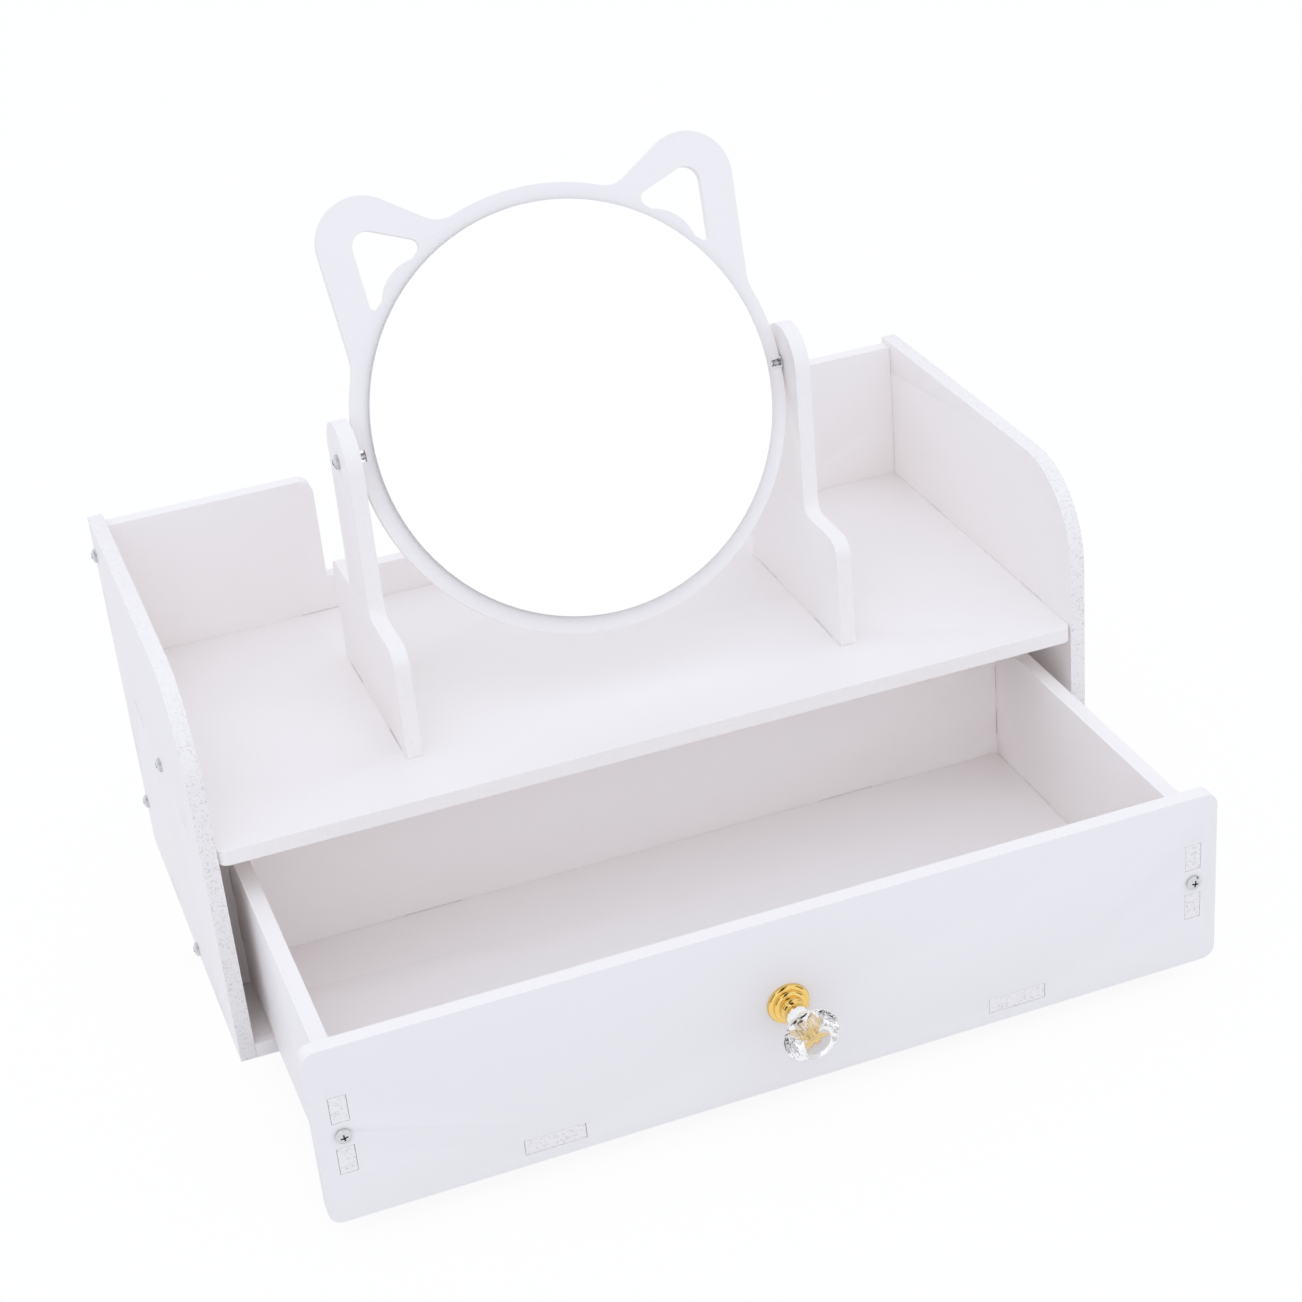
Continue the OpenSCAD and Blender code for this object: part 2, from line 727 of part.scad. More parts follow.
module knob_base() {
    color(gold) on_front() difference() {
        rotate_extrude() {
            for (step = knob_steps)
                plate([step[0] * knob_base_d / 2, step[1] * knob_steps_h], [0, 0, knob_step_round, 0]);
            square([knob_neck_d / 2, knob_base_len]);
            translate([0, knob_base_len - knob_lip])
                plate([crystal_seat_d / 2, knob_lip], [0, 0, knob_lip / 4, 0]);
        }
        translate([0, 0, -eps])
            cylinder(d = knob_screw_d + 2 * pilot_gap, h = knob_grip + knob_hole_spare);
    }
}

// Tapered prism with one side for each facet, turned by a share of a facet
module cut(z, r1, r2, h, turn = 0) {
    translate([0, 0, z]) rotate([0, 0, turn * 360 / crystal_sides])
        cylinder(r1 = r1, r2 = r2, h = h, $fn = crystal_sides);
}

module knob_crystal() {
    seat = crystal_seat_d / 2;
    edge = crystal_d / 2;
    table = crystal_table_d / 2;
    wide = crystal_seat_len + crystal_flare_len;
    crown = wide + crystal_edge;
    bulge = 1.03;                                  // facets stand out between the corner lines
    back_mid = (seat + edge) / 2 * bulge;
    crown_mid = (table + edge) / 2 * bulge;
    color([0.9, 0.95, 1, 0.6]) on_front() translate([0, 0, knob_base_len]) {
        cut(0, seat, seat, crystal_seat_len + eps);
        hull() {
            cut(crystal_seat_len, seat, edge, crystal_flare_len);
            cut(crystal_seat_len, seat / 2, back_mid, crystal_flare_len / 2, 0.5);
            cut(wide, edge, edge, crystal_edge);
            cut(crown, edge, table, crystal_crown_len);
            cut(crown + crystal_crown_len / 2, crown_mid, seat / 2, crystal_crown_len / 4, 0.5);
        }
    }
}

module knob_screw() {
    grip = board_t + knob_grip;
    color(steel) pulled() translate([0, front_back_y, front_h / 2]) to_rear() {
        pan_head(knob_head_d, head_h);
        translate([0, 0, -grip]) cylinder(d = knob_screw_d, h = grip + eps);
    }
}

left_side_panel();
right_side_panel();
back_panel();
shelf_board();
bottom_board();
left_mirror_post();
right_mirror_post();
side_screws();
rear_screws();
post_screws();
mirror_frame();
mirror_glass();
mirror_tape();
pivot_screws();
pivot_spacers();
drawer_front();
drawer_left_side();
drawer_right_side();
drawer_back();
drawer_floor();
drawer_screws();
knob_base();
knob_crystal();
knob_screw();
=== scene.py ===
import math
import bpy
import bmesh
from mathutils import Euler, Matrix, Vector


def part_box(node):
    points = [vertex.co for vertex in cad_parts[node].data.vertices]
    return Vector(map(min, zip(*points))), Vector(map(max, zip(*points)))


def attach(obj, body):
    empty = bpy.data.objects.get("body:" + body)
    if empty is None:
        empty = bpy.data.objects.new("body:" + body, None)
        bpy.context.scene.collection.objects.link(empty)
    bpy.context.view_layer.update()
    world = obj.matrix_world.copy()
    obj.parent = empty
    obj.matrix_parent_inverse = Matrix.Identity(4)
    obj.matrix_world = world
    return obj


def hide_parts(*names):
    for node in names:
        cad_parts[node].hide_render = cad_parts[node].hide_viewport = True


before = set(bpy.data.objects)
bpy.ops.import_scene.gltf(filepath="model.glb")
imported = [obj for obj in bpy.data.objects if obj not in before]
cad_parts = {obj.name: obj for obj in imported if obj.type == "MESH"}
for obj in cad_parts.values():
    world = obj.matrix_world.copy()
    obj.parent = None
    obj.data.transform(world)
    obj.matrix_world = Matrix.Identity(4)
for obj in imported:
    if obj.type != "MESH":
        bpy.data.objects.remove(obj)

mm = 0.001
xAxis, yAxis, zAxis = Vector((1, 0, 0)), Vector((0, 1, 0)), Vector((0, 0, 1))
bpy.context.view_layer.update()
scene = bpy.context.scene
print("frame loaded:", len(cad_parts), "nodes")


# ---- node trees: one wrapper for shader trees and geometry trees ----

def operator(kind, swapped=False):
    def applied(wire, other):
        return wire.tree.maths(kind, *((other, wire) if swapped else (wire, other)))
    return applied


class Wire:
    # one socket, so that sums on sockets read as plain sums
    def __init__(self, tree, socket):
        self.tree, self.socket = tree, socket

    def __neg__(self):
        return self.tree.maths("MULTIPLY", self, -1)

    __add__, __radd__ = operator("ADD"), operator("ADD", swapped=True)
    __sub__, __rsub__ = operator("SUBTRACT"), operator("SUBTRACT", swapped=True)
    __mul__, __rmul__ = operator("MULTIPLY"), operator("MULTIPLY", swapped=True)
    __truediv__, __rtruediv__ = operator("DIVIDE"), operator("DIVIDE", swapped=True)
    __gt__ = operator("GREATER_THAN")


class Tree:
    def __init__(self, nodeTree):
        self.nodeTree = nodeTree

    # a node of any kind: its settings first, then the values or links of its sockets
    def node(self, kind, settings=None, sockets=None, out=0):
        made = self.nodeTree.nodes.new(kind)
        for name, value in (settings or {}).items():
            if name == "stops":
                setStops(made.color_ramp, value)
            else:
                setattr(made, name, value)
        for name, value in (sockets or {}).items():
            self.plug(made.inputs[name], value)
        return Wire(self, made.outputs[out])

    def plug(self, socket, value):
        if isinstance(value, Wire):
            self.nodeTree.links.new(value.socket, socket)
        elif isinstance(value, list):
            for wire in value:
                self.plug(socket, wire)
        elif value is not None:
            socket.default_value = value

    def maths(self, kind, *values):
        return self.node("ShaderNodeMath", {"operation": kind}, dict(enumerate(values)))

    def vector(self, x, y, z):
        return self.node("ShaderNodeCombineXYZ", None, {0: x, 1: y, 2: z})

    def split(self, vector):
        parted = self.node("ShaderNodeSeparateXYZ", None, {0: vector})
        return [Wire(self, socket) for socket in parted.socket.node.outputs]

    # one colour for factor 0, the other for factor 1
    def blend(self, factor, low, high):
        return self.node("ShaderNodeMix", {"data_type": "RGBA"}, {
            "Factor": factor, 6: (*low, 1), 7: (*high, 1)}, out=2)


def setStops(ramp, stops):
    while len(ramp.elements) > 1:
        ramp.elements.remove(ramp.elements[-1])
    for i, (place, value) in enumerate(stops):
        stop = ramp.elements[0] if i == 0 else ramp.elements.new(place)
        stop.position = place
        stop.color = (value, value, value, 1)


def evaluated(piece):
    # the piece's mesh with its modifiers applied
    bpy.context.view_layer.update()
    return bpy.data.meshes.new_from_object(piece.evaluated_get(bpy.context.evaluated_depsgraph_get()))


class Growth(Tree):
    # a geometry tree with named inputs, which ends in real faces
    socketKinds = {float: "NodeSocketFloat", int: "NodeSocketInt"}

    def __init__(self, name, sizes):
        super().__init__(bpy.data.node_groups.new(name, "GeometryNodeTree"))
        self.sizes = sizes
        panel = self.nodeTree.interface
        panel.new_socket("Geometry", in_out="INPUT", socket_type="NodeSocketGeometry")
        for label, value in sizes.items():
            panel.new_socket(label, in_out="INPUT", socket_type=self.socketKinds[type(value)])
        for label in ("Material", "Cut Shade Material"):
            panel.new_socket(label, in_out="INPUT", socket_type="NodeSocketMaterial")
        panel.new_socket("Geometry", in_out="OUTPUT", socket_type="NodeSocketGeometry")
        self.entry = self.nodeTree.nodes.new("NodeGroupInput")

    def given(self, label):
        return Wire(self, self.entry.outputs[label])

    def moved(self, geometry, up=0.0, turn=0.0):
        return self.node("GeometryNodeTransform", None, {
            "Geometry": geometry, "Translation": self.vector(0.0, 0.0, up),
            "Rotation": self.vector(0.0, 0.0, turn)})

    def joined(self, *parts):
        return self.node("GeometryNodeJoinGeometry", None, {"Geometry": list(parts)})

    def dressed(self, geometry, label="Material"):
        return self.node("GeometryNodeSetMaterial", None, {
            "Geometry": geometry, "Material": self.given(label)})

    # ends the tree in one material, or in the materials that its parts have
    def close(self, geometry, keep=False):
        real = self.node("GeometryNodeRealizeInstances", None, {"Geometry": geometry})
        last = real if keep else self.dressed(real)
        self.plug(self.nodeTree.nodes.new("NodeGroupOutput").inputs[0], last)

    # runs the tree on a mesh and gives back a plain mesh; the second material paints shade on its cuts
    def grow(self, mesh, material, changes, cutShade=None):
        holder = bpy.data.objects.new("holder", mesh)
        scene.collection.objects.link(holder)
        modifier = holder.modifiers.new("growth", "NODES")
        modifier.node_group = self.nodeTree
        values = {**self.sizes, **changes, "Material": material, "Cut Shade Material": cutShade}
        for item in self.nodeTree.interface.items_tree:
            if item.in_out == "INPUT" and item.name in values:
                modifier[item.identifier] = values[item.name]
        grown = evaluated(holder)
        bpy.data.objects.remove(holder)
        shadedCuts = [int(cutShade is not None and grown.materials[face.material_index] == cutShade)
                for face in grown.polygons]
        grown.materials.clear()
        for each in (material, cutShade)[:1 + max(shadedCuts)]:
            grown.materials.append(each)
        grown.polygons.foreach_set("material_index", shadedCuts)
        return grown


class Finish(Tree):
    # a material with one Principled shader; constants such as BaseColor are set on its own sockets
    def __init__(self, name, **constants):
        self.material = bpy.data.materials.new(name)
        self.material.use_nodes = True
        super().__init__(self.material.node_tree)
        self.shader = next(n for n in self.nodeTree.nodes if n.type == "BSDF_PRINCIPLED")
        for socketName, value in constants.items():
            spaced = "".join(" " + c if c.isupper() and i else c for i, c in enumerate(socketName))
            self.shader.inputs[spaced.replace("I O R", "IOR")].default_value = value
        self.place = self.node("ShaderNodeTexCoord", out="Object")

    def drive(self, socketName, value):
        self.plug(self.shader.inputs[socketName], value)

    def noise(self, scale, detail=2.0, roughness=0.5):
        return self.node("ShaderNodeTexNoise", None, {
            "Vector": self.place, "Scale": scale, "Detail": detail, "Roughness": roughness})

    def bump(self, height, distance):
        return self.node("ShaderNodeBump", None, {"Height": height, "Distance": distance})

    # lets another shader show over the Principled one
    def overlay(self, other, share):
        mixed = self.node("ShaderNodeMixShader", None, {
            "Fac": share, 1: Wire(self, self.shader.outputs[0]), 2: other})
        output = next(n for n in self.nodeTree.nodes if n.type == "OUTPUT_MATERIAL")
        self.plug(output.inputs["Surface"], mixed)


# ---- finishes ----

boardLook = {
    "white": (0.962, 0.928, 0.913),
    "cloud": (0.952, 0.917, 0.901),     # slightly duller drifts in the skin
    "cloudScale": 14,
    "grainScale": 1300,                 # fine satin grain of the skin
    "grainDepth": 0.018 * mm,
    "roughness": 0.42,
    "roughLow": 0.38,
    "roughSpread": 0.08,
}


def boardFinish():
    look = boardLook
    finish = Finish("boardSkin", Roughness=look["roughness"])
    cloud = finish.noise(look["cloudScale"], 3)
    finish.drive("Base Color", finish.blend(cloud, look["white"], look["cloud"]))
    grain = finish.noise(look["grainScale"])
    finish.drive("Roughness", look["roughLow"] + look["roughSpread"] * grain)
    finish.drive("Normal", finish.bump(grain, look["grainDepth"]))
    return finish.material


edgeLook = {
    "white": (0.985, 0.950, 0.925),
    # painted shade: the colour put into the foam's pits
    "pitShadeTint": (0.80, 0.765, 0.735),
    "cellScale": 1500,                  # foam cells, 0.5 to 0.7 mm apart
    "cellShare": 0.35,                  # how far the cells raise the surface
    "pitScale": 1200,
    "pitNoise": (3, 0.6),               # detail and roughness of the pits' pattern
    "pitStops": [(0.34, 1.0), (0.44, 0.0)],
    "pitShare": 0.5,                    # how far the pits lower the surface
    "depth": 0.12 * mm,
    "topLitFade": 0.8,                     # share of the painted pit shade that edges facing up lose, where light from above falls on them
    "roughness": 0.6,
    "roughLow": 0.55,
    "roughSpread": 0.2,
}


# sawn foam: pits of open cells in the bump, with painted shade in them that fades where the edge faces up;
# rough says how much of them shows
def edgeFinish(name, rough):
    look = edgeLook
    finish = Finish(name, Roughness=look["roughness"])
    cells = finish.node("ShaderNodeTexVoronoi", {"feature": "F1"}, {
        "Vector": finish.place, "Scale": look["cellScale"], "Randomness": 1.0}, out="Distance")
    coarse = finish.noise(look["pitScale"], *look["pitNoise"])
    pit = finish.node("ShaderNodeValToRGB", {"stops": look["pitStops"]}, {"Fac": coarse})
    height = coarse + look["cellShare"] * cells - look["pitShare"] * pit
    across, along, upward = finish.split(finish.node("ShaderNodeTexCoord", out="Normal"))
    # painted shade in the pits, faded on edges facing up, where light from above falls
    pitShade = pit * rough * (1 - look["topLitFade"] * finish.maths("MAXIMUM", upward, 0.0))
    finish.drive("Base Color", finish.blend(pitShade, look["white"], look["pitShadeTint"]))
    finish.drive("Roughness", look["roughLow"] + look["roughSpread"] * coarse)
    finish.drive("Normal", finish.bump(height, look["depth"] * rough))
    return finish.material


metalLooks = {
    # name: bright tint, shaded tint, roughness, its spread, scale of the streaks
    "brightZinc": ((0.74, 0.75, 0.77), (0.58, 0.59, 0.61), 0.14, 0.12, 600),
    # painted shade: a dark zinc that stands for the shade inside the screws' crossed recesses
    "shadedZinc": ((0.20, 0.20, 0.21), (0.12, 0.12, 0.13), 0.35, 0.10, 600),
    "polishedGold": ((0.91, 0.64, 0.22), (0.87, 0.59, 0.18), 0.04, 0.04, 250),
}


def metalFinish(name):
    bright, shade, roughness, spread, scale = metalLooks[name]
    finish = Finish(name, Metallic=1.0, Roughness=roughness)
    streak = finish.noise(scale, 3)
    finish.drive("Base Color", finish.blend(streak, bright, shade))
    finish.drive("Roughness", roughness + spread * streak)
    return finish.material


glassLook = {
    "silver": (0.97, 0.975, 0.98),
    "hazeScale": 40,
    "hazeLow": 0.001,                   # smooth enough for its rays to count as singular
    "hazeSpread": 0.0015,
    "edgeDark": (0.66, 0.675, 0.68),
    "edgeLight": (0.78, 0.795, 0.80),
    "edgeScale": 900,                   # grain of the ground edge
    "edgeRoughness": 0.35,
    "edgeRoughLow": 0.3,
    "edgeRoughSpread": 0.15,
    "refraction": 1.5,
}


def mirrorFinish():
    look = glassLook
    finish = Finish("silveredGlass", BaseColor=(*look["silver"], 1), Metallic=1.0, Roughness=0.0)
    haze = finish.noise(look["hazeScale"])
    finish.drive("Roughness", look["hazeLow"] + look["hazeSpread"] * haze)
    return finish.material


def glassEdgeFinish():
    look = glassLook
    finish = Finish("groundGlassEdge", Roughness=look["edgeRoughness"], IOR=look["refraction"])
    grain = finish.noise(look["edgeScale"])
    finish.drive("Base Color", finish.blend(grain, look["edgeDark"], look["edgeLight"]))
    finish.drive("Roughness", look["edgeRoughLow"] + look["edgeRoughSpread"] * grain)
    return finish.material


crystalLook = {
    "tint": (0.88, 0.885, 0.91),
    "refraction": 1.56,
    "polishScale": 300,
    "roughness": 0.03,                  # just rough enough to see the studio's cards
    "roughLow": 0.029,
    "roughSpread": 0.004,
}


def crystalFinish():
    look = crystalLook
    finish = Finish("cutCrystal", BaseColor=(*look["tint"], 1), Roughness=look["roughness"],
                    IOR=look["refraction"], TransmissionWeight=1.0)
    polish = finish.noise(look["polishScale"], 1)
    finish.drive("Roughness", look["roughLow"] + look["roughSpread"] * polish)
    return finish.material


tapeLook = {
    "light": (0.88, 0.87, 0.84),
    "dark": (0.78, 0.77, 0.73),
    "foamScale": 1800,
    "foamDepth": 0.1 * mm,
    "roughness": 0.9,
}


def tapeFinish():
    look = tapeLook
    finish = Finish("foamTape", Roughness=look["roughness"])
    foam = finish.noise(look["foamScale"])
    finish.drive("Base Color", finish.blend(foam, look["light"], look["dark"]))
    finish.drive("Normal", finish.bump(foam, look["foamDepth"]))
    return finish.material


boardSkin = boardFinish()
roughEdge = edgeFinish("sawnEdgeRough", 1.0)
fineEdge = edgeFinish("sawnEdgeFine", 0.2)
zinc = metalFinish("brightZinc")
shadedZinc = metalFinish("shadedZinc")
gold = metalFinish("polishedGold")
silvered = mirrorFinish()
glassEdge = glassEdgeFinish()
crystal = crystalFinish()
foamTape = tapeFinish()
print("finishes made")


# ---- boards: the CAD shapes with softened edges ----

boards = {
    "weld": 0.002 * mm,
    "edgeRound": 0.22 * mm,
    "edgeSteps": 2,
    "jointGap": 0.08 * mm,  # how far a board's edges stand back from its neighbours
    "flatShare": 0.9,       # a face belongs to the flat sides of a board from this share of its direction
    "roughEnds": 0.7,       # an edge face counts as a tab end from this share of its direction
    "sameSide": 0.9999,     # faces count as one side from this share of a direction
    "mergeTurn": 0.6,       # degrees of turn up to which faces are merged
    "softTurn": 35,         # and from which an edge is rounded
    "sharpTurn": 25,        # and from which it is shaded as an edge
}
fineSlot, roughSlot = 1, 2  # the two kinds of sawn edge among a board's materials


def addPiece(name, mesh, body, nodes, materials=None):
    piece = bpy.data.objects.new(name, mesh)
    scene.collection.objects.link(piece)
    if materials:
        mesh.materials.clear()
        for material in materials:
            mesh.materials.append(material)
    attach(piece, body)
    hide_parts(*nodes)


def mergedShape(nodeName):
    # a node's mesh with its loose triangles joined
    shape = bmesh.new()
    shape.from_mesh(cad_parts[nodeName].data)
    bmesh.ops.remove_doubles(shape, verts=shape.verts, dist=boards["weld"])
    return shape


def drawIn(shape, thin, gap):
    # moves the edges of a board inwards, so that a fine dark joint shows beside them
    steps = []
    for corner in shape.verts:
        sides = []
        for face in corner.link_faces:
            flat = abs(face.normal.dot(thin)) > boards["flatShare"]
            if not flat and all(face.normal.dot(side) < boards["sameSide"] for side in sides):
                sides.append(face.normal.copy())
        if len(sides) == 1:
            steps.append((corner, sides[0] * gap))
        elif len(sides) == 2:
            steps.append((corner, (sides[0] + sides[1]) * gap / (1 + sides[0].dot(sides[1]))))
    for corner, step in steps:
        corner.co -= step


def softBoard(nodeName, body, thin, edgeSlot, gap):
    # thin is the direction through the board; edgeSlot picks the material of an edge face by its normal
    shape = mergedShape(nodeName)
    bmesh.ops.dissolve_limit(shape, angle_limit=math.radians(boards["mergeTurn"]),
                             verts=shape.verts, edges=shape.edges)
    shape.normal_update()
    drawIn(shape, thin, gap)
    mesh = bpy.data.meshes.new(nodeName)
    shape.to_mesh(mesh)
    shape.free()
    holder = bpy.data.objects.new("holder", mesh)
    scene.collection.objects.link(holder)
    bevel = holder.modifiers.new("soften", "BEVEL")
    bevel.width = boards["edgeRound"]
    bevel.segments = boards["edgeSteps"]
    bevel.limit_method = "ANGLE"
    bevel.angle_limit = math.radians(boards["softTurn"])
    soft = evaluated(holder)
    bpy.data.objects.remove(holder)
    addPiece(nodeName + "_board", soft, body, [nodeName], [boardSkin, fineEdge, roughEdge])
    for face in soft.polygons:
        if abs(face.normal.dot(thin)) < boards["flatShare"]:
            face.material_index = edgeSlot(face.normal)
        face.use_smooth = True
    soft.set_sharp_from_angle(angle=math.radians(boards["sharpTurn"]))


def fine(normal):
    return fineSlot


def rough(normal):
    return roughSlot


def roughAlong(axis):
    return lambda normal: roughSlot if abs(normal.dot(axis)) > boards["roughEnds"] else fineSlot


# the direction through the mirror, from the largest face of its glass
mirrorAxis = max(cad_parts["mirror_glass"].data.polygons, key=lambda face: face.area).normal.copy()

for nodeName, body, thin, edgeSlot, gap in (
    ("left_side_panel", "cabinet", xAxis, rough, boards["jointGap"]),
    ("right_side_panel", "cabinet", xAxis, rough, boards["jointGap"]),
    ("back_panel", "cabinet", yAxis, roughAlong(xAxis), boards["jointGap"]),
    ("shelf_board", "cabinet", zAxis, roughAlong(xAxis), boards["jointGap"]),
    ("bottom_board", "cabinet", zAxis, roughAlong(xAxis), boards["jointGap"]),
    ("left_mirror_post", "cabinet", xAxis, fine, boards["jointGap"]),
    ("right_mirror_post", "cabinet", xAxis, fine, boards["jointGap"]),
    ("mirror_frame", "mirror", mirrorAxis, fine, 0),
    ("drawer_front", "drawer", yAxis, fine, boards["jointGap"]),
    ("drawer_back", "drawer", yAxis, fine, boards["jointGap"]),
    ("drawer_left_side", "drawer", xAxis, roughAlong(yAxis), boards["jointGap"]),
    ("drawer_right_side", "drawer", xAxis, roughAlong(yAxis), boards["jointGap"]),
    ("drawer_floor", "drawer", zAxis, roughAlong(yAxis), boards["jointGap"]),
):
    softBoard(nodeName, body, thin, edgeSlot, gap)
print("boards softened")


# ---- mirror glass, tape, washers and knob screw: the CAD shapes with their own materials ----

def dressNode(nodeName, materials, pick=None):
    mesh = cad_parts[nodeName].data
    mesh.materials.clear()
    for material in materials:
        mesh.materials.append(material)
    if pick:
        for face in mesh.polygons:
            face.material_index = pick(face)


dressNode("mirror_glass", [silvered, glassEdge],
          lambda face: int(abs(face.normal.dot(mirrorAxis)) < boards["flatShare"]))
dressNode("mirror_tape", [foamTape])
dressNode("pivot_spacers", [zinc])
dressNode("knob_screw", [zinc])
print("glass dressed")


# ---- screws: pan heads with a crossed recess on threaded shanks ----

screwSizes = {
    "Head Diameter": 5.6 * mm,
    "Head Height": 2.0 * mm,
    "Shank Diameter": 3.0 * mm,
    "Shank Length": 18.0 * mm,
    "Tip Length": 3.0 * mm,
    "Thread Pitch": 1.25 * mm,
    "Thread Depth": 0.3 * mm,
    "Recess Length": 3.8 * mm,
    "Recess Width": 0.8 * mm,
    "Recess Depth": 1.2 * mm,
    "Head Sides": 32,
    "Shank Sides": 14,
    "Spin Seed": 5,
}
screwForm = {
    "domeRings": 5,
    "rimShare": 0.5,        # share of the head's height that is straight
    "recessMouth": 0.75,    # width of the recess's arms at the top, as a share of the full width
    "recessTaper": 0.25,    # share of the width that they lose down to the floor
    "pointShare": 0.1,      # the point's radius, as a share of the core's
    "threadSteps": 14,      # corners in one turn of the thread
    "headShare": 0.4,       # half a head is wider than this share of the screw's width, a shank isn't
    "sharpTurn": 32,
}


def screwTree():
    form = screwForm
    tree = Growth("panScrews", screwSizes)
    headRadius = 0.5 * tree.given("Head Diameter")
    headHeight = tree.given("Head Height")
    x, y, z = tree.split(tree.node("GeometryNodeInputPosition"))

    # head: a straight rim, then a dome
    rim = form["rimShare"] * headHeight
    drum = tree.moved(tree.node("GeometryNodeMeshCylinder", {"fill_type": "TRIANGLE_FAN"}, {
        "Vertices": tree.given("Head Sides"), "Side Segments": 1, "Fill Segments": form["domeRings"],
        "Radius": headRadius, "Depth": rim}), up=0.5 * rim)
    outness = (x * x + y * y) / (headRadius * headRadius)
    head = tree.node("GeometryNodeSetPosition", None, {
        "Geometry": drum, "Selection": z > 0.5 * rim,
        "Offset": tree.vector(0.0, 0.0, (headHeight - rim) * (1.0 - outness))})

    # recess: two crossed blocks that narrow downwards; their cut faces get the second material, painted shade
    depth = tree.given("Recess Depth")
    arm = tree.node("GeometryNodeMeshCube", None, {"Size": tree.vector(
        tree.given("Recess Length"), tree.given("Recess Width"), 2.0 * depth)})
    narrow = form["recessMouth"] + form["recessTaper"] * (z / depth)
    tapered = tree.node("GeometryNodeSetPosition", None, {
        "Geometry": arm, "Position": tree.vector(x * narrow, y * narrow, z)})
    arms = [tree.moved(tapered, up=headHeight, turn=quarter * math.pi / 2) for quarter in (0, 1)]
    cut = tree.node("GeometryNodeMeshBoolean", {"operation": "DIFFERENCE", "solver": "EXACT"}, {
        0: tree.dressed(head), 1: [tree.dressed(block, "Cut Shade Material") for block in arms]})

    # shank: a core, its point, and the thread wound round it
    core = 0.5 * tree.given("Shank Diameter") - tree.given("Thread Depth")
    straight = tree.given("Shank Length") - tree.given("Tip Length")
    rod = tree.moved(tree.node("GeometryNodeMeshCylinder", None, {
        "Vertices": tree.given("Shank Sides"), "Radius": core, "Depth": straight}), up=-0.5 * straight)
    point = tree.moved(tree.node("GeometryNodeMeshCone", None, {
        "Vertices": tree.given("Shank Sides"), "Radius Top": core,
        "Radius Bottom": form["pointShare"] * core,
        "Depth": tree.given("Tip Length")}), up=-tree.given("Shank Length"))
    winding = tree.moved(tree.node("GeometryNodeCurveSpiral", None, {
        "Resolution": form["threadSteps"], "Rotations": straight / tree.given("Thread Pitch"),
        "Start Radius": core, "End Radius": core, "Height": straight}), up=-straight)
    ridge = tree.node("GeometryNodeCurvePrimitiveCircle", {"mode": "RADIUS"}, {
        "Resolution": 3, "Radius": tree.given("Thread Depth")})
    thread = tree.node("GeometryNodeCurveToMesh", None, {
        "Curve": winding, "Profile Curve": ridge, "Fill Caps": True})
    shank = tree.dressed(tree.joined(rod, point, thread))

    # one screw at each point, along its axis and spun by chance
    along = tree.node("GeometryNodeInputNamedAttribute", {"data_type": "FLOAT_VECTOR"}, {"Name": "axis"})
    aimed = tree.node("FunctionNodeAlignRotationToVector", {"axis": "Z"}, {"Vector": along})
    angle = tree.node("FunctionNodeRandomValue", {"data_type": "FLOAT"}, {
        2: 0.0, 3: 2 * math.pi, "Seed": tree.given("Spin Seed")}, out=1)
    spin = tree.node("FunctionNodeAxisAngleToRotation", None, {"Axis": (0, 0, 1), "Angle": angle})
    turned = tree.node("FunctionNodeRotateRotation", {"rotation_space": "LOCAL"}, {
        "Rotation": aimed, "Rotate By": spin})
    whole = tree.joined(cut, shank)
    tree.close(tree.node("GeometryNodeInstanceOnPoints", None, {
        "Points": tree.given("Geometry"), "Instance": whole, "Rotation": turned}), keep=True)
    return tree


def solidsOf(nodeName):
    # the corner points of each separate solid of a node, from left to right
    shape = mergedShape(nodeName)
    waiting = set(shape.verts)
    solids = []
    while waiting:
        front = [waiting.pop()]
        corners = []
        while front:
            corner = front.pop()
            corners.append(corner.co.copy())
            for side in corner.link_edges:
                other = side.other_vert(corner)
                if other in waiting:
                    waiting.remove(other)
                    front.append(other)
        solids.append(corners)
    shape.free()
    return sorted(solids, key=lambda corners: tuple(round(sum(c[k] for c in corners) / len(corners), 5)
                                                    for k in range(3)))


def screwPlace(corners):
    # where a screw's head seats, which way it points, and how long its shank is
    low = Vector([min(c[k] for c in corners) for k in range(3)])
    high = Vector([max(c[k] for c in corners) for k in range(3)])
    size = high - low
    middle = (low + high) / 2
    k = max(range(3), key=lambda i: size[i])
    side = (k + 1) % 3
    headHeight = screwSizes["Head Height"]
    reach = max(abs(c[side] - middle[side]) for c in corners if c[k] > high[k] - headHeight)
    forward = 1 if reach > size[side] * screwForm["headShare"] else -1
    seat = middle.copy()
    seat[k] = (high[k] if forward > 0 else low[k]) - forward * headHeight
    axis = Vector((0, 0, 0))
    axis[k] = forward
    return seat, axis, size[k] - headHeight


screws = screwTree()


def screwPiece(name, body, nodeNames, seed, changes):
    places = [screwPlace(corners) for nodeName in nodeNames for corners in solidsOf(nodeName)]
    points = bpy.data.meshes.new(name)
    points.from_pydata([seat for seat, axis, length in places], [], [])
    axes = points.attributes.new("axis", "FLOAT_VECTOR", "POINT")
    axes.data.foreach_set("vector", [value for seat, axis, length in places for value in axis])
    changes = {"Shank Length": places[0][2], "Spin Seed": seed, **changes}
    # the recesses' faces get the dark zinc of painted shade
    mesh = screws.grow(points, zinc, changes, shadedZinc)
    for face in mesh.polygons:
        face.use_smooth = True
    mesh.set_sharp_from_angle(angle=math.radians(screwForm["sharpTurn"]))
    addPiece(name, mesh, body, nodeNames)
    print(name, len(places), "screws")


